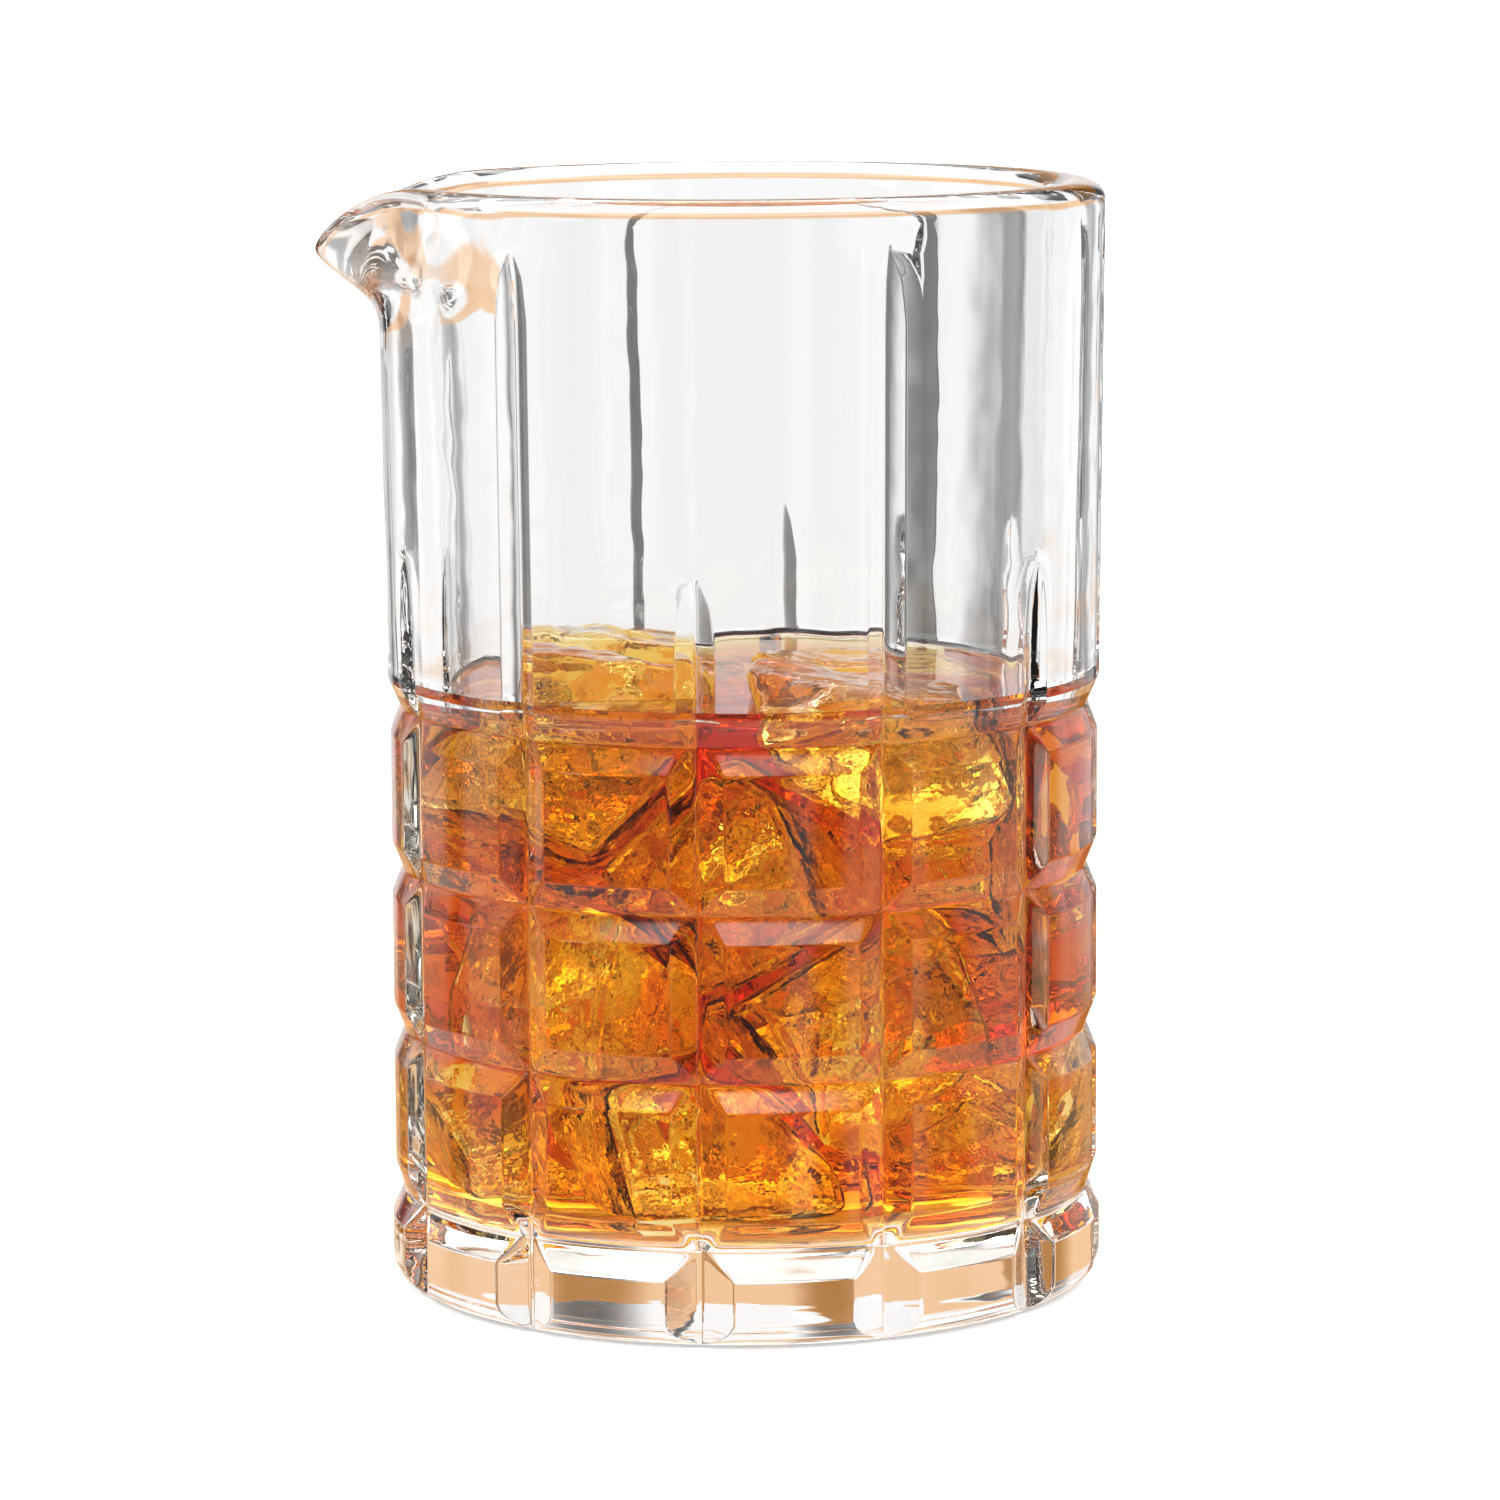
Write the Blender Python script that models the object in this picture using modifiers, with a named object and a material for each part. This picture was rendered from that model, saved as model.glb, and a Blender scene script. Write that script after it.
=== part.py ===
"""A cut mixing glass with a pouring lip, holding a stirred drink over cracked ice.

Metres, +Z up. The origin is the centre of the flat underside, and the lip pours along -X.
"""

import math

import bmesh
import bpy
from mathutils import Euler, Vector

MM = 0.001

# Glass: outer wall, from the rim down
HEIGHT = 138 * MM
RIM_RADIUS = 45.25 * MM
SHOULDER_RADIUS = 44.6 * MM  # the plain upper wall where it meets the cut rows
TILE_RADIUS = 44.35 * MM
BASE_RADIUS = 44.75 * MM
HEEL_RADIUS = 3.2 * MM
RIM_ROUNDING = 2.4 * MM

# Glass: bore
RIM_BORE_RADIUS = 38.6 * MM
WAIST_BORE_RADIUS = 37.0 * MM
WAIST_HEIGHT = 68 * MM
FLOOR_BORE_RADIUS = 36.5 * MM
FLOOR_HEIGHT = 11.5 * MM
BORE_CORNER_RADIUS = 5 * MM

# Cut pattern: V rings and upright V grooves cross and leave raised tiles
RING_COUNT = 4
FIRST_RING_HEIGHT = 11.7 * MM
RING_PITCH = 20.43 * MM
CUT_HALF_WIDTH = 3.2 * MM
RING_DEPTH = 1.3 * MM
GROOVE_COUNT = 12
GROOVE_DEPTH = 1.42 * MM
UPPER_GROOVE_DEPTH = 1.0 * MM
LONG_TIP_HEIGHT = 132.4 * MM
SHORT_TIP_HEIGHT = 94 * MM
LIP_TIP_HEIGHT = 116 * MM  # the groove below the lip stops short of it

# Pouring lip: the rim pulled out along -X and down
LIP_REACH = 8.75 * MM
LIP_DROP = 8 * MM
LIP_THINNING = 0.6  # share of the rim's thickness that the pull takes away at the tip
LIP_HALF_ANGLE = math.radians(34)
LIP_ROOT_HEIGHT = 119.5 * MM

# Contents
LIQUID_LEVEL = 76 * MM
CLEARANCE = 0.3 * MM
ICE_LAYERS = 4
ICE_PER_LAYER = 4
ICE_BLOCK_SIDE = 24 * MM  # each piece starts as a cube of this size and is cut back by its neighbours
ICE_RADIUS = 20 * MM  # from the axis to the middle of a piece
ICE_FIRST_LAYER = 20.5 * MM
ICE_LAYER_PITCH = 16.8 * MM
ICE_FLOOR = FLOOR_HEIGHT + 1.2 * MM
ICE_TOP = LIQUID_LEVEL + 2.6 * MM
ICE_REACH = 35.2 * MM  # the wall keeps the pieces inside this radius
ICE_WALL_SIDES = 24
ICE_GAP = 1.5 * MM
ICE_SHORTEST_EDGE = 2.4 * MM
ICE_ROUNDING = 0.8 * MM
POCKET_SCALE = 1.045
CHANNEL_RADIUS = 1.5 * MM

TURNED_STEPS = 60


def clear_scene():
    for obj in list(bpy.data.objects):
        bpy.data.objects.remove(obj, do_unlink=True)


def new_collection(name, hidden=False):
    collection = bpy.data.collections.new(name)
    bpy.context.scene.collection.children.link(collection)
    collection.hide_render = hidden
    return collection


def material(name, colour, roughness, transmission):
    made = bpy.data.materials.new(name)
    made.use_nodes = True
    shader = made.node_tree.nodes["Principled BSDF"]
    shader.inputs["Base Color"].default_value = (*colour, 1)
    shader.inputs["Roughness"].default_value = roughness
    shader.inputs["Metallic"].default_value = 0
    shader.inputs["Transmission Weight"].default_value = transmission
    return made


def object_from(name, mesh, collection):
    obj = bpy.data.objects.new(name, mesh)
    collection.objects.link(obj)
    return obj


def as_cutter(obj):
    obj.hide_render = True
    obj.display_type = "WIRE"
    return obj


def cut(target, cutter):
    boolean = target.modifiers.new(cutter.name, "BOOLEAN")
    boolean.operation = "DIFFERENCE"
    boolean.solver = "EXACT"
    boolean.object = cutter


def arc(centre_x, centre_z, radius_x, radius_z, start, end, count):
    """Points along an ellipse's arc, both ends included, with the angles in degrees."""
    points = []
    for step in range(count + 1):
        angle = math.radians(start + (end - start) * step / count)
        points.append((centre_x + radius_x * math.cos(angle), centre_z + radius_z * math.sin(angle)))
    return points


def turned(name, profile, collection):
    """The solid that a profile of (radius, height) points sweeps round the Z axis."""
    mesh = bpy.data.meshes.new(name + "_profile")
    points = [(radius, 0, height) for radius, height in profile]
    edges = [(index, index + 1) for index in range(len(points) - 1)]
    mesh.from_pydata(points, edges, [])
    outline = object_from(name + "_profile", mesh, collection)
    screw = outline.modifiers.new("Screw", "SCREW")
    screw.axis = "Z"
    screw.angle = math.tau
    screw.steps = TURNED_STEPS
    screw.render_steps = TURNED_STEPS
    screw.use_merge_vertices = True
    screw.merge_threshold = 0.01 * MM
    bpy.context.view_layer.update()
    evaluated = outline.evaluated_get(bpy.context.evaluated_depsgraph_get())
    solid = bpy.data.meshes.new_from_object(evaluated)
    bpy.data.objects.remove(outline)
    solid.shade_smooth()
    solid.set_sharp_from_angle(angle=math.radians(15))
    return object_from(name, solid, collection)


def ring_heights():
    return [FIRST_RING_HEIGHT + RING_PITCH * ring for ring in range(RING_COUNT)]


def shoulder_height():
    return ring_heights()[-1] + CUT_HALF_WIDTH


def wall_radius(height):
    """Outer radius of the wall, between the cuts."""
    if height < ring_heights()[0]:
        return BASE_RADIUS
    if height < shoulder_height():
        return TILE_RADIUS
    share = (height - shoulder_height()) / (HEIGHT - shoulder_height())
    return SHOULDER_RADIUS + (RIM_RADIUS - SHOULDER_RADIUS) * share


def bore_radius(height):
    if height > WAIST_HEIGHT:
        share = (height - WAIST_HEIGHT) / (HEIGHT - WAIST_HEIGHT)
        return WAIST_BORE_RADIUS + (RIM_BORE_RADIUS - WAIST_BORE_RADIUS) * share
    corner_top = FLOOR_HEIGHT + BORE_CORNER_RADIUS
    share = (height - corner_top) / (WAIST_HEIGHT - corner_top)
    return FLOOR_BORE_RADIUS + (WAIST_BORE_RADIUS - FLOOR_BORE_RADIUS) * share


def lip_zone_heights(count=7):
    """Heights up the wall where the lip is pulled out, so that it bends smoothly."""
    top = HEIGHT - RIM_ROUNDING
    return [LIP_ROOT_HEIGHT + (top - LIP_ROOT_HEIGHT) * step / count for step in range(count)]


def bore_corner(clearance):
    """The rounded corner between the bore's floor and its wall, shrunk by a clearance."""
    centre_x = FLOOR_BORE_RADIUS - BORE_CORNER_RADIUS
    centre_z = FLOOR_HEIGHT + BORE_CORNER_RADIUS
    radius = BORE_CORNER_RADIUS - clearance
    return arc(centre_x, centre_z, radius, radius, -90, 0, 4)


def ring_cuts():
    """The outer wall's V rings, from the top one down."""
    points = []
    for height in reversed(ring_heights()):
        above = wall_radius(height + CUT_HALF_WIDTH)
        below = wall_radius(height - CUT_HALF_WIDTH)
        points.append((above, height + CUT_HALF_WIDTH))
        points.append((TILE_RADIUS - RING_DEPTH, height))
        points.append((below, height - CUT_HALF_WIDTH))
    return points


def glass_profile():
    """Up the bore, over the rim, down the outer wall and across the flat underside."""
    profile = [(0, FLOOR_HEIGHT)]
    profile += bore_corner(clearance=0)
    profile.append((WAIST_BORE_RADIUS, WAIST_HEIGHT))
    profile += [(bore_radius(height), height) for height in lip_zone_heights()]
    middle = (RIM_RADIUS + RIM_BORE_RADIUS) / 2
    half_thickness = (RIM_RADIUS - RIM_BORE_RADIUS) / 2
    profile += arc(middle, HEIGHT - RIM_ROUNDING, half_thickness, RIM_ROUNDING, 180, 0, 8)
    profile += [(wall_radius(height), height) for height in reversed(lip_zone_heights())]
    profile += ring_cuts()
    heel_x = BASE_RADIUS - HEEL_RADIUS
    profile += arc(heel_x, HEEL_RADIUS, HEEL_RADIUS, HEEL_RADIUS, 0, -90, 4)
    profile.append((0, 0))
    return profile


def smooth_step(share):
    share = min(max(share, 0), 1)
    return share * share * (3 - 2 * share)


def pull_lip(mesh):
    """Moves the rim near -X outwards and down, thinning it towards the lip's tip."""
    for vertex in mesh.vertices:
        radius = math.hypot(vertex.co.x, vertex.co.y)
        angle = abs(math.atan2(vertex.co.y, -vertex.co.x))
        rise = (vertex.co.z - LIP_ROOT_HEIGHT) / (HEIGHT - LIP_ROOT_HEIGHT)
        if rise <= 0 or angle >= LIP_HALF_ANGLE:
            continue
        around = smooth_step(1 - angle / LIP_HALF_ANGLE)
        upward = smooth_step(rise) ** 1.2
        thinning = LIP_THINNING * (RIM_RADIUS - radius)
        vertex.co.x -= around * upward * (LIP_REACH + thinning)
        vertex.co.z -= LIP_DROP * around**1.7 * rise


def groove_tip_height(index):
    """Grooves alternate long and short, and the one below the lip, at index 0, is cut back."""
    if index == 0:
        return LIP_TIP_HEIGHT
    return LONG_TIP_HEIGHT if index % 2 == 0 else SHORT_TIP_HEIGHT


def groove_levels(tip):
    """(height, depth) down the groove's apex line, from below the foot up to the pointed tip."""
    return [
        (-2 * MM, GROOVE_DEPTH),
        (shoulder_height() - CUT_HALF_WIDTH, GROOVE_DEPTH),
        (shoulder_height(), UPPER_GROOVE_DEPTH),
        (tip - 9 * MM, UPPER_GROOVE_DEPTH),
        (tip - 4 * MM, 0.75 * UPPER_GROOVE_DEPTH),
        (tip + 2 * MM, -0.5 * UPPER_GROOVE_DEPTH),
    ]


def groove_cutter(index, collection):
    """A V prism that cuts one upright groove and rises out of the wall at its spear tip."""
    around = math.pi + math.tau * index / GROOVE_COUNT
    outward = Vector((math.cos(around), math.sin(around), 0))
    sideways = Vector((-math.sin(around), math.cos(around), 0))
    outer = RIM_RADIUS + 1.3 * MM
    slope = CUT_HALF_WIDTH / GROOVE_DEPTH
    shape = bmesh.new()
    sections = []
    for height, depth in groove_levels(groove_tip_height(index)):
        surface = wall_radius(height) if height > shoulder_height() else TILE_RADIUS
        apex = surface - depth
        half_width = (outer - apex) * slope
        up = Vector((0, 0, height))
        corners = [
            outward * apex + up,
            outward * outer + sideways * half_width + up,
            outward * outer - sideways * half_width + up,
        ]
        sections.append([shape.verts.new(corner) for corner in corners])
    for lower, upper in zip(sections, sections[1:]):
        for corner in range(3):
            after = (corner + 1) % 3
            shape.faces.new((lower[corner], lower[after], upper[after], upper[corner]))
    shape.faces.new(sections[0])
    shape.faces.new(sections[-1])
    bmesh.ops.recalc_face_normals(shape, faces=shape.faces)
    mesh = bpy.data.meshes.new(f"groove_cutter_{index + 1:02}")
    shape.to_mesh(mesh)
    shape.free()
    return as_cutter(object_from(mesh.name, mesh, collection))


def build_glass(parts, cutters):
    glass = turned("mixing_glass", glass_profile(), parts)
    pull_lip(glass.data)
    for index in range(GROOVE_COUNT):
        cut(glass, groove_cutter(index, cutters))
    glass.data.materials.append(material("clear_glass", (0.95, 0.97, 0.96), 0.02, 1))
    return glass


def drink_profile():
    """Across the surface to the bore's wall, down it and back to the axis along the floor."""
    profile = [(0, LIQUID_LEVEL), (bore_radius(LIQUID_LEVEL) - CLEARANCE, LIQUID_LEVEL)]
    profile.append((WAIST_BORE_RADIUS - CLEARANCE, WAIST_HEIGHT))
    profile += reversed(bore_corner(CLEARANCE))
    profile.append((0, FLOOR_HEIGHT + CLEARANCE))
    return profile


def build_drink(parts):
    drink = turned("drink", drink_profile(), parts)
    drink.data.materials.append(material("amber_liquid", (0.85, 0.33, 0.04), 0.02, 1))
    return drink


def ice_middles():
    """The middle of each piece of ice: layers of a few, each layer turned and jostled against the last."""
    middles = []
    for layer in range(ICE_LAYERS):
        for place in range(ICE_PER_LAYER):
            index = layer * ICE_PER_LAYER + place
            around = math.tau * (place + 0.5 * layer) / ICE_PER_LAYER + 0.25 * math.sin(3.1 * index + 1)
            out = ICE_RADIUS + 2 * MM * math.sin(5.3 * index + 2)
            height = ICE_FIRST_LAYER + ICE_LAYER_PITCH * layer + 2.2 * MM * math.sin(2.3 * index)
            middles.append(Vector((out * math.cos(around), out * math.sin(around), height)))
    return middles


def ice_planes(index, middles):
    """(point, normal) of the planes round one piece: its neighbours, the wall, the floor and the air."""
    middle = middles[index]
    planes = [
        (Vector((0, 0, ICE_FLOOR)), Vector((0, 0, -1))),
        (Vector((0, 0, ICE_TOP)), Vector((0.1, 0.06, 1)).normalized()),
    ]
    for other, place in enumerate(middles):
        if other == index:
            continue
        away = (place - middle).normalized()
        planes.append(((place + middle) / 2 - away * ICE_GAP / 2, away))
    for side in range(ICE_WALL_SIDES):
        around = math.tau * side / ICE_WALL_SIDES
        outward = Vector((math.cos(around), math.sin(around), 0))
        planes.append((outward * ICE_REACH, outward))
    return planes


def convex(points):
    """The convex hull of some points, with its flat faces whole."""
    hull = bmesh.new()
    for point in points:
        hull.verts.new(point)
    made = bmesh.ops.convex_hull(hull, input=hull.verts)
    inside = {part for part in made["geom_interior"] if isinstance(part, bmesh.types.BMVert)}
    bmesh.ops.delete(hull, geom=list(inside), context="VERTS")
    bmesh.ops.dissolve_limit(hull, angle_limit=math.radians(1), verts=hull.verts, edges=hull.edges)
    return hull


def ice_shape(index, middles):
    """A turned cube cut back by the planes round it, as a closed mesh about its own middle."""
    block = bmesh.new()
    bmesh.ops.create_cube(block, size=ICE_BLOCK_SIDE)
    turn = Euler((0.5 * math.sin(1.9 * index + 1), 0.5 * math.cos(2.7 * index), 1.7 * index))
    bmesh.ops.rotate(block, verts=block.verts, matrix=turn.to_matrix())
    for point, normal in ice_planes(index, middles):
        geometry = block.verts[:] + block.edges[:] + block.faces[:]
        made = bmesh.ops.bisect_plane(
            block, geom=geometry, plane_co=point - middles[index], plane_no=normal, clear_outer=True
        )
        rim = [part for part in made["geom_cut"] if isinstance(part, bmesh.types.BMEdge)]
        if rim:
            bmesh.ops.contextual_create(block, geom=rim)
    bmesh.ops.remove_doubles(block, verts=block.verts, dist=ICE_SHORTEST_EDGE)
    sharp = convex([corner.co for corner in block.verts])
    block.free()
    bmesh.ops.bevel(
        sharp, geom=sharp.edges[:], offset=ICE_ROUNDING, segments=1, affect="EDGES", clamp_overlap=True
    )
    rounded = convex([corner.co for corner in sharp.verts])
    sharp.free()
    bmesh.ops.recalc_face_normals(rounded, faces=rounded.faces)
    mesh = bpy.data.meshes.new(f"ice_{index + 1:02}")
    rounded.to_mesh(mesh)
    rounded.free()
    return mesh


def open_pocket(index, middle, cutters, drink):
    """A thin channel from a pocket's middle to the air, so that the pocket isn't a sealed hollow."""
    top = ICE_TOP + 2 * MM
    shape = bmesh.new()
    bmesh.ops.create_cone(
        shape,
        cap_ends=True,
        segments=8,
        radius1=CHANNEL_RADIUS,
        radius2=CHANNEL_RADIUS,
        depth=top - middle.z,
    )
    mesh = bpy.data.meshes.new(f"channel_cutter_{index + 1:02}")
    shape.to_mesh(mesh)
    shape.free()
    channel = as_cutter(object_from(mesh.name, mesh, cutters))
    channel.location = (middle.x, middle.y, (top + middle.z) / 2)
    cut(drink, channel)


def build_ice(parts, cutters, drink):
    """The pieces of ice, each in a pocket of the drink that is a little larger than the piece."""
    ice = material("ice", (0.93, 0.97, 1), 0.08, 1)
    middles = ice_middles()
    for index, middle in enumerate(middles):
        mesh = ice_shape(index, middles)
        mesh.materials.append(ice)
        piece = object_from(f"ice_{index + 1:02}", mesh, parts)
        piece.location = middle
        pocket = as_cutter(object_from(f"pocket_cutter_{index + 1:02}", mesh, cutters))
        pocket.location = middle
        pocket.scale = (POCKET_SCALE, POCKET_SCALE, POCKET_SCALE)
        cut(drink, pocket)
        open_pocket(index, middle, cutters, drink)


def main():
    clear_scene()
    parts = new_collection("mixing_glass")
    cutters = new_collection("cutters", hidden=True)
    build_glass(parts, cutters)
    drink = build_drink(parts)
    build_ice(parts, cutters, drink)


main()
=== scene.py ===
"""The looks of a cut mixing glass with a pouring lip, a stirred amber drink and ice.

Metres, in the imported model's frame: +Z up, origin at the centre of the foot, the lip along -X.
Shapes are worked out in millimetres and scaled as they become meshes.
"""

import math
import random

import bmesh
import bpy
import numpy as np
from mathutils import Euler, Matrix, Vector, noise


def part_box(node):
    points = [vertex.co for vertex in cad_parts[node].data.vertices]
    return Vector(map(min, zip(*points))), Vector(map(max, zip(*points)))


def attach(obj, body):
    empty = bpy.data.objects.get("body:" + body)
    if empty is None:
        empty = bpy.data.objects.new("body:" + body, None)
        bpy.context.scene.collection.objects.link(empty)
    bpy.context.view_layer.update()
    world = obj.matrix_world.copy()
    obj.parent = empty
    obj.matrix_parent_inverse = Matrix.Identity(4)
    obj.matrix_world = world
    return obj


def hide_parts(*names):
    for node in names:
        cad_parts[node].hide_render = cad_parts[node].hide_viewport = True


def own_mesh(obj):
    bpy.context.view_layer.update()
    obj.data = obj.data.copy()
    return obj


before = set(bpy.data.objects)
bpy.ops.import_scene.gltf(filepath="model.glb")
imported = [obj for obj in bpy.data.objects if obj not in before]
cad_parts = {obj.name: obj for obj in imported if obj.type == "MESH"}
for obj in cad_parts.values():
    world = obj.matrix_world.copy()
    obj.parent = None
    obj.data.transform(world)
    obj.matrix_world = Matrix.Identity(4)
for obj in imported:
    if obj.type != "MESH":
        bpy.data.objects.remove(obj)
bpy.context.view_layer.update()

MM = 0.001

CAMERA_AZIMUTH = math.radians(7.45)
FLOOR_SIZE = 12
FLOOR_GAP = 0.0002  # below the foot, so that the two don't touch

# Glass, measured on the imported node
_glass_low, _glass_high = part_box("mixing_glass")
HEIGHT = _glass_high[2] / MM
RIM_RADIUS = _glass_high[0] / MM

# Outer wall
SHOULDER_RADIUS = 44.6
TILE_RADIUS = 44.35
BASE_RADIUS = 44.75
HEEL_RADIUS = 3.2
RIM_ROUNDING = 2.4

# Bore
RIM_BORE = 38.6
WAIST_BORE = 37.0
WAIST_HEIGHT = 68.0
FLOOR_BORE = 36.5
FLOOR_HEIGHT = 11.5
BORE_CORNER = 5.0

# Cuts
RINGS = [11.7 + 20.43 * ring for ring in range(4)]
RING_HALF_WIDTH = 3.2
RING_DEPTH = 1.3
GROOVES = 12
GROOVE_DEPTH = 1.42
UPPER_GROOVE_DEPTH = 1.0
GROOVE_SLOPE = 3.2 / 1.42
LONG_TIP = 132.4
SHORT_TIP = 94.0
LIP_GROOVE_TIP = 116.0
APEX_ROUNDING = 0.2
EDGE_ROUNDING = 0.025

# Lip
LIP_REACH = 8.75
LIP_DROP = 8.0
LIP_THINNING = 0.6
LIP_HALF_ANGLE = math.radians(34)
LIP_ROOT = 119.5

# Drink
LIQUID_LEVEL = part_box("drink")[1][2] / MM
OVERLAP = 0.12  # the drink reaches this far into the glass, so that no air shows between them
MENISCUS_RISE = 0.7
MENISCUS_WIDTH = 2.2
DRINK_COLOUR = (0.96, 0.76, 0.02)  # what the drink's absorption lets through
DRINK_DENSITY = 235

# Ice
ICE_ROOM = 0.965  # size of the room that each piece takes out of the drink, against the piece
ICE_VOXEL = 0.85
ICE_WAVES = [(0.11, 0.9), (0.33, 0.35)]  # (waves per millimetre, height) of the melted surface's hollows
ICE_COLOUR = (0.98, 0.82, 0.1)
ICE_DENSITY = 26
ICE_MELT = 0.1  # how far the melted surface lies inside the CAD piece's, before its hollows
ICE_FROST = 0.22  # roughness of its most frosted patches
CRACKS_PER_PIECE = 3
CRACK_RADIUS = 6.0
CRACK_SIZES = (0.6, 1.0)  # shares of CRACK_RADIUS
CRACK_SHIFT = 3  # how far a crack may lie from the middle of its piece, along each axis
CRACK_THICKNESS = 0.12
CRACK_BEND = 1.6
CRACK_RAGGEDNESS = 0.25

# Refractive indices
GLASS_INDEX = 1.5
DRINK_INDEX = 1.35
ICE_INDEX = 1.31

# Share of its reflection that a surface keeps, less where the real neighbour isn't air
WET_GLASS_REFLECTION = 0.05
DRINK_REFLECTION = 0.1
ICE_REFLECTION = 0.4

NEARNESS = 0.1  # a face this close to the bore belongs to it
LIGHT_BOUNCES = 24
REFLECTION_BOUNCES = 8


def mesh_object(name, points, faces):
    mesh = bpy.data.meshes.new(name)
    mesh.from_pydata([tuple(p) for p in points], [], [tuple(f) for f in faces])
    mesh.validate()
    shape = bmesh.new()
    shape.from_mesh(mesh)
    bmesh.ops.recalc_face_normals(shape, faces=shape.faces)
    shape.to_mesh(mesh)
    shape.free()
    mesh.shade_smooth()
    obj = bpy.data.objects.new(name, mesh)
    bpy.context.scene.collection.objects.link(obj)
    return obj


# ---------------------------------------------------------------- the glass's shape


def smooth_step(share):
    share = np.clip(share, 0, 1)
    return share * share * (3 - 2 * share)


def groove_tip(index):
    if index == 0:
        return LIP_GROOVE_TIP
    return LONG_TIP if index % 2 == 0 else SHORT_TIP


def wall_radius(height):
    shoulder = RINGS[-1] + RING_HALF_WIDTH
    tiles_from = RINGS[0] + RING_HALF_WIDTH
    tiles_to = RINGS[-1] - RING_HALF_WIDTH
    heights = [RINGS[0] - RING_HALF_WIDTH, tiles_from, tiles_to, shoulder, HEIGHT]
    radii = [BASE_RADIUS, TILE_RADIUS, TILE_RADIUS, SHOULDER_RADIUS, RIM_RADIUS]
    return np.interp(height, heights, radii)


def apex_radius(height, index):
    """Radius of a groove's deepest line, which rises out of the wall at the spear tip."""
    tip = groove_tip(index)
    shoulder = RINGS[-1] + RING_HALF_WIDTH
    heights = [RINGS[-1], shoulder, tip - 9, tip - 4, tip, tip + 4]
    depths = [GROOVE_DEPTH, UPPER_GROOVE_DEPTH, UPPER_GROOVE_DEPTH, 0.75 * UPPER_GROOVE_DEPTH, 0, -4]
    surface = wall_radius(height) if height > shoulder else TILE_RADIUS
    return surface - np.interp(height, heights, depths)


def ring_depth(height):
    deepest = 0.0
    for ring in RINGS:
        away = math.hypot(height - ring, APEX_ROUNDING) - APEX_ROUNDING
        raw = RING_DEPTH * (1 - away / RING_HALF_WIDTH)
        deepest = max(deepest, 0.5 * (raw + math.hypot(raw, EDGE_ROUNDING)))
    return deepest


def groove_depth(radius, across, height, index):
    """How deep the groove lies below a wall of this radius, this far across from its middle."""
    away = np.hypot(across, APEX_ROUNDING) - APEX_ROUNDING
    raw = radius - apex_radius(height, index) - away / GROOVE_SLOPE
    return 0.5 * (raw + np.hypot(raw, EDGE_ROUNDING))


def joined_depth(first, second):
    return (first**8 + second**8) ** 0.125


HALF_STEPS = [0.06, 0.15, 0.3, 0.45, 0.6, 0.74, 0.86, 0.94, 1.0, 1.06, 1.15]
ACROSS = [-step for step in reversed(HALF_STEPS)] + [0] + HALF_STEPS
BETWEEN = [step / 8 for step in range(1, 8)]


def column_angles(radius, height):
    """Angles of the mesh's columns: a fan across each groove that narrows with it, even steps between."""
    pitch = math.tau / GROOVES
    halves = []
    for index in range(GROOVES):
        half = GROOVE_SLOPE * (radius - apex_radius(height, index))
        floor = 0.4 + 0.35 * max(height - groove_tip(index), 0)
        halves.append(max(half, min(floor, 2.2)) / radius)
    angles, owners = [], []
    for index, half in enumerate(halves):
        middle = math.pi + pitch * index
        for share in ACROSS:
            angles.append(middle + share * half)
            owners.append(index)
        start = middle + ACROSS[-1] * half
        end = middle + pitch - ACROSS[-1] * halves[(index + 1) % GROOVES]
        for share in BETWEEN:
            angles.append(start + share * (end - start))
            owners.append(index if share < 0.5 else (index + 1) % GROOVES)
    return np.array(angles), owners


def outer_row(radius, height):
    """One row of the outer wall: points round the glass with the cuts taken away."""
    angles, owners = column_angles(radius, height)
    pitch = math.tau / GROOVES
    off = np.array([angle - math.pi - pitch * owner for angle, owner in zip(angles, owners)])
    off = (off + math.pi) % math.tau - math.pi
    across = radius * np.sin(off)
    rings = ring_depth(height)
    upright = np.array([groove_depth(radius, a, height, o) for a, o in zip(across, owners)])
    radii = radius - joined_depth(np.full_like(upright, rings), upright)
    return np.column_stack([radii * np.cos(angles), radii * np.sin(angles), np.full_like(angles, height)])


def plain_row(radius, height, angles):
    return np.column_stack([radius * np.cos(angles), radius * np.sin(angles), np.full_like(angles, height)])


def ring_row_heights():
    """Heights of rows down the cut wall: a fan across each ring and even steps over the tiles."""
    heights = []
    for ring in reversed(RINGS):
        heights += [ring - RING_HALF_WIDTH * share for share in ACROSS]
        if ring != RINGS[0]:
            top = ring - RING_HALF_WIDTH * ACROSS[-1]
            bottom = ring - (RINGS[1] - RINGS[0]) + RING_HALF_WIDTH * ACROSS[-1]
            heights += [top + (bottom - top) * step / 6 for step in range(1, 6)]
    return heights


def bore_radius(height):
    heights = [FLOOR_HEIGHT + BORE_CORNER, WAIST_HEIGHT, HEIGHT]
    return np.interp(height, heights, [FLOOR_BORE, WAIST_BORE, RIM_BORE])


def bore_corner(growth, count=10):
    """The bore's rounded corner, from the floor up, grown outwards by this much."""
    centre = (FLOOR_BORE - BORE_CORNER, FLOOR_HEIGHT + BORE_CORNER)
    turns = [math.radians(-90 + 90 * step / count) for step in range(count + 1)]
    size = BORE_CORNER + growth
    return [(centre[0] + size * math.cos(turn), centre[1] + size * math.sin(turn)) for turn in turns]


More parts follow.
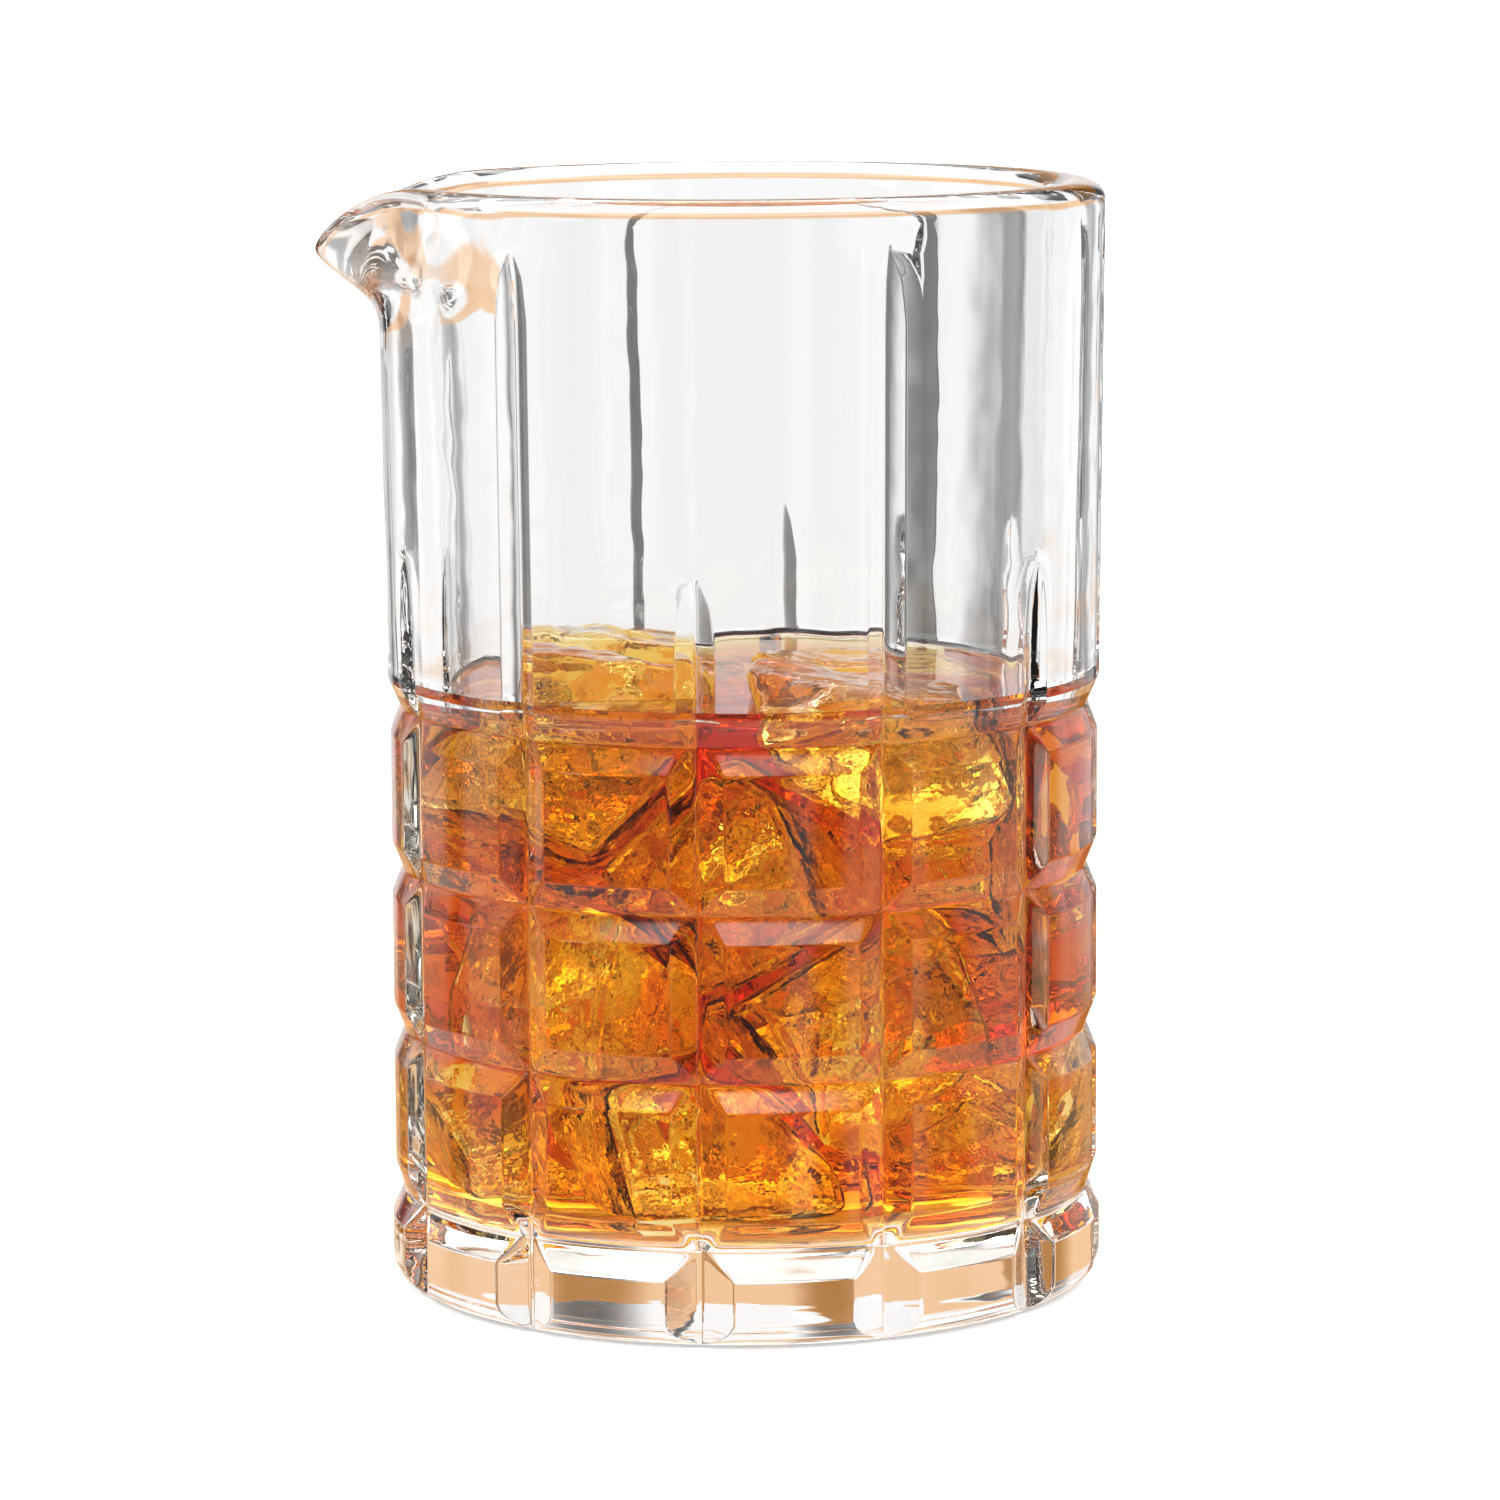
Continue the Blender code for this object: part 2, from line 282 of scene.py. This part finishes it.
def pulled_lip(points):
    radius = np.hypot(points[:, 0], points[:, 1])
    angle = np.abs(np.arctan2(points[:, 1], -points[:, 0]))
    rise = np.clip((points[:, 2] - LIP_ROOT) / (HEIGHT - LIP_ROOT), 0, 1)
    around = smooth_step(1 - angle / LIP_HALF_ANGLE)
    upward = smooth_step(rise) ** 1.2
    moved = points.copy()
    moved[:, 0] -= around * upward * (LIP_REACH + LIP_THINNING * (RIM_RADIUS - radius))
    moved[:, 2] -= LIP_DROP * around**1.7 * rise
    return moved


def glass_rows():
    top = HEIGHT - RIM_ROUNDING
    rim_angles, _ = column_angles(RIM_RADIUS, top)
    rows = [plain_row(FLOOR_BORE * share, FLOOR_HEIGHT, rim_angles) for share in (0.2, 0.4, 0.6, 0.75)]
    rows += [plain_row(radius, height, rim_angles) for radius, height in bore_corner(0)]
    bore_heights = list(np.linspace(FLOOR_HEIGHT + BORE_CORNER, LIP_ROOT, 24)[1:])
    bore_heights += list(np.linspace(LIP_ROOT, top, 18)[1:])
    rows += [plain_row(bore_radius(height), height, rim_angles) for height in bore_heights]
    middle = (RIM_RADIUS + bore_radius(top)) / 2
    half = (RIM_RADIUS - bore_radius(top)) / 2
    for step in range(1, 16):
        turn = math.pi * (1 - step / 16)
        radius = middle + half * math.cos(turn)
        rows.append(plain_row(radius, top + RIM_ROUNDING * math.sin(turn), rim_angles))
    shoulder = RINGS[-1] + RING_HALF_WIDTH * ACROSS[-1]
    upper = list(np.linspace(top, LIP_ROOT, 24)) + list(np.linspace(LIP_ROOT, shoulder, 48)[1:-1])
    heights = upper + ring_row_heights()
    lowest = heights[-1]
    heights += list(np.linspace(lowest, HEEL_RADIUS, 7)[1:])
    rows += [outer_row(float(wall_radius(height)), float(height)) for height in heights]
    for step in range(1, 11):
        turn = math.radians(90 * step / 10)
        radius = BASE_RADIUS - HEEL_RADIUS + HEEL_RADIUS * math.cos(turn)
        rows.append(outer_row(radius, HEEL_RADIUS - HEEL_RADIUS * math.sin(turn)))
    foot_angles, _ = column_angles(BASE_RADIUS - HEEL_RADIUS, 0)
    rows += [plain_row(36 * share, 0, foot_angles) for share in (1, 0.75, 0.5, 0.25)]
    return rows


def lofted(name, rows, first_centre, last_centre):
    """A closed skin over rows of equal length, with its ends drawn to two points on the axis."""
    count = len(rows[0])
    points = np.vstack(rows + [np.array([first_centre, last_centre])])
    faces = []
    for row in range(len(rows) - 1):
        for column in range(count):
            after = (column + 1) % count
            here = row * count
            below = here + count
            faces.append((here + column, here + after, below + after, below + column))
    first, last = len(points) - 2, len(points) - 1
    base = (len(rows) - 1) * count
    for column in range(count):
        after = (column + 1) % count
        faces.append((first, after, column))
        faces.append((last, base + column, base + after))
    return points, faces


def build_glass():
    points, faces = lofted("glass", glass_rows(), (0, 0, FLOOR_HEIGHT), (0, 0, 0))
    glass = mesh_object("cut_glass", pulled_lip(points) * MM, faces)
    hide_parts("mixing_glass")
    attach(glass, "glass")
    return glass


# ---------------------------------------------------------------- the drink and the ice


def build_drink():
    steps = 160
    angles = np.linspace(0, math.tau, steps, endpoint=False)
    wall = float(bore_radius(LIQUID_LEVEL)) + OVERLAP
    profile = [(wall * share, LIQUID_LEVEL) for share in (0.15, 0.35, 0.55, 0.75, 0.85)]
    for step in range(0, 9):
        share = step / 8
        rise = MENISCUS_RISE * share**2.6
        profile.append((wall - MENISCUS_WIDTH * (1 - share), LIQUID_LEVEL + rise))
    profile.append((wall, LIQUID_LEVEL - 1))
    heights = np.linspace(LIQUID_LEVEL - 2, FLOOR_HEIGHT + BORE_CORNER, 16)[:-1]
    profile += [(float(bore_radius(height)) + OVERLAP, height) for height in heights]
    profile += list(reversed(bore_corner(OVERLAP)))
    profile += [(FLOOR_BORE * share, FLOOR_HEIGHT - OVERLAP) for share in (0.7, 0.5, 0.3, 0.15)]
    rows = [plain_row(radius, height, angles) for radius, height in profile]
    points, faces = lofted("drink", rows, (0, 0, LIQUID_LEVEL), (0, 0, FLOOR_HEIGHT - OVERLAP))
    drink = mesh_object("stirred_drink", points * MM, faces)
    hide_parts("drink")
    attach(drink, "glass")
    return drink


def middle_of(mesh):
    points = np.array([vertex.co for vertex in mesh.vertices])
    return Vector((points.min(axis=0) + points.max(axis=0)) / 2)


def melted(source, name, seed):
    """A finely meshed copy of a CAD piece of ice, with the hollows and bumps of a melting surface."""
    rough = source.copy()
    rough.data = source.data.copy()
    bpy.context.scene.collection.objects.link(rough)
    remesh = rough.modifiers.new("remesh", "REMESH")
    remesh.mode = "VOXEL"
    remesh.voxel_size = ICE_VOXEL * MM
    smooth = rough.modifiers.new("smooth", "SMOOTH")
    smooth.factor = 0.5
    smooth.iterations = 3
    bpy.context.view_layer.update()
    mesh = bpy.data.meshes.new_from_object(rough.evaluated_get(bpy.context.evaluated_depsgraph_get()))
    bpy.data.objects.remove(rough)
    offset = Vector((7.3 * seed, 3.1 * seed, 5.7 * seed))
    moves = []
    for vertex in mesh.vertices:
        place = vertex.co / MM
        height = sum(size * noise.noise(place * rate + offset) for rate, size in ICE_WAVES)
        moves.append(vertex.normal * (height - ICE_MELT) * MM)
    for vertex, move in zip(mesh.vertices, moves):
        vertex.co += move
    mesh.name = name
    mesh.shade_smooth()
    return mesh


def add_cracks(mesh, middle, chance):
    """Thin air-filled cracks inside a piece: closed wavy sheets whose faces look into the air."""
    shape = bmesh.new()
    shape.from_mesh(mesh)
    for _ in range(CRACKS_PER_PIECE):
        made = bmesh.ops.create_icosphere(shape, subdivisions=3, radius=1)
        turn = Euler([chance.uniform(0, math.tau) for _ in range(3)]).to_matrix()
        shift = Vector([chance.uniform(-CRACK_SHIFT, CRACK_SHIFT) for _ in range(3)])
        size = CRACK_RADIUS * chance.uniform(*CRACK_SIZES)
        seed = Vector([chance.uniform(0, 50) for _ in range(3)])
        for vertex in made["verts"]:
            flat = vertex.co.copy()
            edge = 1 + CRACK_RAGGEDNESS * noise.noise(flat * 1.7 + seed)
            bend = CRACK_BEND * noise.noise(Vector((flat.x, flat.y, 0)) * 1.3 + seed)
            sheet = Vector((flat.x * size * edge, flat.y * size * edge, flat.z * CRACK_THICKNESS + bend))
            vertex.co = middle + (turn @ sheet + shift) * MM
        faces = {face for vertex in made["verts"] for face in vertex.link_faces}
        bmesh.ops.reverse_faces(shape, faces=list(faces))
        for face in faces:
            face.smooth = True
    shape.to_mesh(mesh)
    shape.free()


def build_ice(drink):
    """Each CAD piece becomes a melting, cracked one, and takes its room out of the drink."""
    chance = random.Random(5)
    pieces = []
    for seed, name in enumerate(sorted(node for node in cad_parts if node.startswith("ice_"))):
        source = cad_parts[name]
        middle = middle_of(source.data)
        make_room(drink, source, middle)
        mesh = melted(source, "melting_" + name, seed)
        add_cracks(mesh, middle, chance)
        piece = bpy.data.objects.new(mesh.name, mesh)
        bpy.context.scene.collection.objects.link(piece)
        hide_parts(name)
        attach(piece, "ice")
        pieces.append(piece)
    return pieces


def make_room(drink, source, middle):
    """Takes a piece's room out of the drink, a little less than the piece fills, so that they overlap."""
    cutter = source.copy()
    cutter.data = source.data.copy()
    for vertex in cutter.data.vertices:
        vertex.co = middle + (vertex.co - middle) * ICE_ROOM
    bpy.context.scene.collection.objects.link(cutter)
    boolean = drink.modifiers.new("room", "BOOLEAN")
    boolean.operation = "DIFFERENCE"
    boolean.solver = "EXACT"
    boolean.object = cutter
    bpy.context.view_layer.objects.active = drink
    bpy.context.view_layer.update()
    bpy.ops.object.modifier_apply(modifier="room")
    bpy.data.objects.remove(cutter)


# ---------------------------------------------------------------- materials


def maths(tree, operation, first, second=None):
    node = tree.nodes.new("ShaderNodeMath")
    node.operation = operation
    for slot, value in enumerate((first, second)):
        if value is None:
            continue
        if isinstance(value, (int, float)):
            node.inputs[slot].default_value = value
        else:
            tree.links.new(value, node.inputs[slot])
    return node.outputs[0]


def ramp(tree, value, start, end, low=0.0, high=1.0):
    """A smooth step from low to high as a value goes from start to end."""
    node = tree.nodes.new("ShaderNodeMapRange")
    node.interpolation_type = "SMOOTHSTEP"
    node.inputs["From Min"].default_value = start
    node.inputs["From Max"].default_value = end
    node.inputs["To Min"].default_value = low
    node.inputs["To Max"].default_value = high
    tree.links.new(value, node.inputs["Value"])
    return node.outputs[0]


def shader_material(name):
    made = bpy.data.materials.new(name)
    made.use_nodes = True
    return made, made.node_tree, made.node_tree.nodes["Principled BSDF"]


def noise_texture(tree, scale, detail):
    """Noise in the object's own space, in waves per metre."""
    where = tree.nodes.new("ShaderNodeTexCoord").outputs["Object"]
    texture = tree.nodes.new("ShaderNodeTexNoise")
    texture.inputs["Scale"].default_value = scale
    texture.inputs["Detail"].default_value = detail
    tree.links.new(where, texture.inputs["Vector"])
    return texture.outputs[0]


def add_bump(tree, shader, height, depth):
    bump = tree.nodes.new("ShaderNodeBump")
    bump.inputs["Strength"].default_value = 1
    bump.inputs["Distance"].default_value = depth
    tree.links.new(height, bump.inputs["Height"])
    tree.links.new(bump.outputs[0], shader.inputs["Normal"])


def add_absorption(tree, colour, density):
    absorb = tree.nodes.new("ShaderNodeVolumeAbsorption")
    absorb.inputs["Color"].default_value = (*colour, 1)
    absorb.inputs["Density"].default_value = density
    tree.links.new(absorb.outputs[0], tree.nodes["Material Output"].inputs["Volume"])


def set_reflection(shader, share):
    shader.inputs["Specular Tint"].default_value = (share, share, share, 1)


def glass_material(name, reflection):
    """Soda-lime glass with the faint waves that a mould and fire polishing leave."""
    made, tree, shader = shader_material(name)
    shader.inputs["Base Color"].default_value = (0.995, 0.998, 0.995, 1)
    shader.inputs["Roughness"].default_value = 0.0
    shader.inputs["IOR"].default_value = GLASS_INDEX
    shader.inputs["Transmission Weight"].default_value = 1
    set_reflection(shader, reflection)
    add_bump(tree, shader, noise_texture(tree, 70, 2), 0.00012)
    return made


def drink_material():
    made, tree, shader = shader_material("amber_drink")
    shader.inputs["Base Color"].default_value = (1, 1, 1, 1)
    shader.inputs["Roughness"].default_value = 0.0
    shader.inputs["IOR"].default_value = DRINK_INDEX
    shader.inputs["Transmission Weight"].default_value = 1
    set_reflection(shader, DRINK_REFLECTION)
    add_bump(tree, shader, noise_texture(tree, 160, 1), 0.0001)
    add_absorption(tree, DRINK_COLOUR, DRINK_DENSITY)
    return made


def ice_material():
    """Wet ice: clear with frosted patches, and faintly amber from the drink in its cracks."""
    made, tree, shader = shader_material("clear_ice")
    shader.inputs["Base Color"].default_value = (1, 1, 1, 1)
    shader.inputs["IOR"].default_value = ICE_INDEX
    shader.inputs["Transmission Weight"].default_value = 1
    set_reflection(shader, ICE_REFLECTION)
    frost = ramp(tree, noise_texture(tree, 120, 3), 0.5, 0.8, 0.0, ICE_FROST)
    tree.links.new(frost, shader.inputs["Roughness"])
    add_bump(tree, shader, noise_texture(tree, 260, 3), 0.0005)
    add_absorption(tree, ICE_COLOUR, ICE_DENSITY)
    return made


def paint(obj, material):
    obj.data.materials.clear()
    obj.data.materials.append(material)


def wet_the_bore(glass, material):
    """Where the drink touches the bore, the wall loses the reflection that air would give it."""
    glass.data.materials.append(material)
    for face in glass.data.polygons:
        middle = face.center / MM
        inside = math.hypot(middle.x, middle.y) < bore_radius(middle.z) + NEARNESS
        if inside and FLOOR_HEIGHT - NEARNESS < middle.z < LIQUID_LEVEL:
            face.material_index = 1


# ---------------------------------------------------------------- studio


def build_floor():
    """A plain pale floor. Light that has met the glass sees the tent in its place."""
    bpy.ops.mesh.primitive_plane_add(size=FLOOR_SIZE, location=(0, 0, -FLOOR_GAP))
    floor = bpy.context.object
    floor.name = "studio_floor"
    floor.visible_transmission = False
    floor.visible_glossy = False
    made, _, shader = shader_material("pale_floor")
    shader.inputs["Base Color"].default_value = (0.9, 0.9, 0.9, 1)
    shader.inputs["Roughness"].default_value = 0.9
    shader.inputs["Specular IOR Level"].default_value = 0
    shader.inputs["Emission Color"].default_value = (1, 1, 1, 1)
    shader.inputs["Emission Strength"].default_value = 0.3
    floor.data.materials.append(made)


# The light tent. A pair gives where a change starts and ends, in the upward part of a direction
# (-1 down, 0 level, 1 up), or in how far the direction agrees with another (1 the same, -1 opposite).
TENT_BARS = 8  # upright dark bars round the tent, with white between them
BAR_DARKNESS = 0.85
WARM_BAR_DARKNESS = 0.45 * BAR_DARKNESS
BAR_PHASE = math.radians(12.5)
BAR_EDGES = (-0.45, -1.0)  # in the cosine that repeats once a bar
DARK_TOP = (0.62, 0.4)
DARK_BOTTOM = (-0.4, -0.27)
FRONT_DARKNESS = 0.75  # how much the tent darkens on the lens's side of the glass
FRONT_SIDE = (-0.1, 0.45)
FRONT_GAP = (37.5, -15)  # degrees round and up: a white gap in the dark front, for views from behind
FRONT_GAP_EDGES = (0.95, 0.9)
CEILING = (0.6, 0.85)
CEILING_LIGHT = 0.6  # strength, added to the tent's own
BAND_BOTTOM = (0.48, 0.54)
BAND_TOP = (0.76, 0.7)
WARM_START = (0.155, 0.2)  # up or down from level, as for the end
WARM_END = (0.4, 0.32)
BACK_SIDE = (0.0, -0.4)
SOFTBOX_EDGE = 0.012
SOFTBOXES = [
    # degrees round from the lens's side, degrees up, size in degrees, strength
    (56, 4, 8, 3.0),
    (-56, 4, 8, 3.0),
    (100, 10, 8, 1.5),
    (-100, 10, 8, 1.5),
]
BAND_LIGHT = 3.5  # strength of the band of light round the tent, above eye level
WHITE = (1, 1, 1, 1)
AMBER_GLOW = (0.95, 0.6, 0.34, 1)  # stands for light that reaches the base after crossing the drink
BAR_BROWN = (0.8, 0.36, 0.1, 1)  # the bars where the base shows them


def blend_colour(tree, share, first, second):
    """From the first colour to the second as a share goes from 0 to 1. Sockets 6 and 7 are the colours."""
    node = tree.nodes.new("ShaderNodeMix")
    node.data_type = "RGBA"
    tree.links.new(share, node.inputs["Factor"])
    for slot, colour in ((6, first), (7, second)):
        if isinstance(colour, tuple):
            node.inputs[slot].default_value = colour
        else:
            tree.links.new(colour, node.inputs[slot])
    return node.outputs[2]


def tent_direction(around, up):
    """A direction by degrees round from the lens's side of the glass and degrees above level."""
    azimuth = CAMERA_AZIMUTH + math.radians(around)
    level = math.cos(math.radians(up))
    return (level * math.sin(azimuth), -level * math.cos(azimuth), math.sin(math.radians(up)))


def facing(tree, direction, towards):
    node = tree.nodes.new("ShaderNodeVectorMath")
    node.operation = "DOT_PRODUCT"
    tree.links.new(direction, node.inputs[0])
    node.inputs[1].default_value = towards
    return node.outputs["Value"]


def both(tree, first, second):
    return maths(tree, "MULTIPLY", first, second)


def build_world():
    """A white light tent: dark bars and front at eye level, softboxes, a bright top and a warm back."""
    world = bpy.data.worlds.new("studio")
    world.use_nodes = True
    tree = world.node_tree
    background = tree.nodes["Background"]
    direction = tree.nodes.new("ShaderNodeTexCoord").outputs["Generated"]
    split = tree.nodes.new("ShaderNodeSeparateXYZ")
    tree.links.new(direction, split.inputs[0])
    upward = split.outputs["Z"]
    steepness = maths(tree, "ABSOLUTE", upward)
    forward = facing(tree, direction, tent_direction(0, 0))

    azimuth = maths(tree, "ARCTAN2", split.outputs["X"], split.outputs["Y"])
    turned = maths(tree, "ADD", azimuth, BAR_PHASE)
    wave = maths(tree, "COSINE", both(tree, turned, TENT_BARS))
    bar = ramp(tree, wave, *BAR_EDGES)
    warm_band = both(tree, ramp(tree, steepness, *WARM_START), ramp(tree, steepness, *WARM_END))
    warm = both(tree, warm_band, ramp(tree, forward, *BACK_SIDE))
    bars = both(tree, bar, ramp(tree, warm, 0, 1, BAR_DARKNESS, WARM_BAR_DARKNESS))

    near_gap = facing(tree, direction, tent_direction(*FRONT_GAP))
    front_strength = ramp(tree, near_gap, *FRONT_GAP_EDGES, 0.0, FRONT_DARKNESS)
    front = both(tree, ramp(tree, forward, *FRONT_SIDE), front_strength)
    eye_level = both(tree, ramp(tree, upward, *DARK_TOP), ramp(tree, upward, *DARK_BOTTOM))
    dark = both(tree, maths(tree, "MAXIMUM", bars, front), eye_level)

    lit = maths(tree, "SUBTRACT", 1.0, dark)
    lit = maths(tree, "ADD", lit, ramp(tree, upward, *CEILING, 0.0, CEILING_LIGHT))
    band = both(tree, ramp(tree, upward, *BAND_BOTTOM), ramp(tree, upward, *BAND_TOP))
    lit = maths(tree, "ADD", lit, both(tree, band, BAND_LIGHT))
    for around, up, size, power in SOFTBOXES:
        edge = math.cos(math.radians(size))
        near = facing(tree, direction, tent_direction(around, up))
        lit = maths(tree, "ADD", lit, ramp(tree, near, edge, edge + SOFTBOX_EDGE, 0.0, power))

    seen = tree.nodes.new("ShaderNodeLightPath").outputs["Is Camera Ray"]
    warmth = blend_colour(tree, bar, AMBER_GLOW, BAR_BROWN)
    tree.links.new(blend_colour(tree, warm, WHITE, warmth), background.inputs["Color"])
    tree.links.new(maths(tree, "MAXIMUM", lit, seen), background.inputs["Strength"])
    bpy.context.scene.world = world


CAMERA_DISTANCE = 0.7824
CAMERA_HEIGHT = 0.1823
AIM_HEIGHT = 0.0664
CAMERA_ROLL = math.radians(-0.316)
CAMERA_SHIFT = 0.0041
LENS = 151


def build_camera():
    data = bpy.data.cameras.new("camera")
    data.lens = LENS
    data.sensor_width = 36
    data.shift_x = CAMERA_SHIFT
    camera = bpy.data.objects.new("camera", data)
    camera.location = (
        CAMERA_DISTANCE * math.sin(CAMERA_AZIMUTH),
        -CAMERA_DISTANCE * math.cos(CAMERA_AZIMUTH),
        CAMERA_HEIGHT,
    )
    aim = Vector((0, 0, AIM_HEIGHT)) - camera.location
    camera.rotation_euler = aim.to_track_quat("-Z", "Y").to_euler()
    camera.rotation_euler.rotate_axis("Z", CAMERA_ROLL)
    bpy.context.scene.collection.objects.link(camera)
    bpy.context.scene.camera = camera


def main():
    build_camera()
    build_world()
    build_floor()
    glass = build_glass()
    paint(glass, glass_material("clear_glass", 1))
    wet_the_bore(glass, glass_material("wet_glass", WET_GLASS_REFLECTION))
    drink = build_drink()
    ice = ice_material()
    for piece in build_ice(drink):
        paint(piece, ice)
    paint(drink, drink_material())
    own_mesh(drink)
    scene = bpy.context.scene
    scene.view_settings.view_transform = "Standard"
    scene.cycles.max_bounces = LIGHT_BOUNCES
    scene.cycles.transmission_bounces = LIGHT_BOUNCES
    scene.cycles.glossy_bounces = REFLECTION_BOUNCES


main()
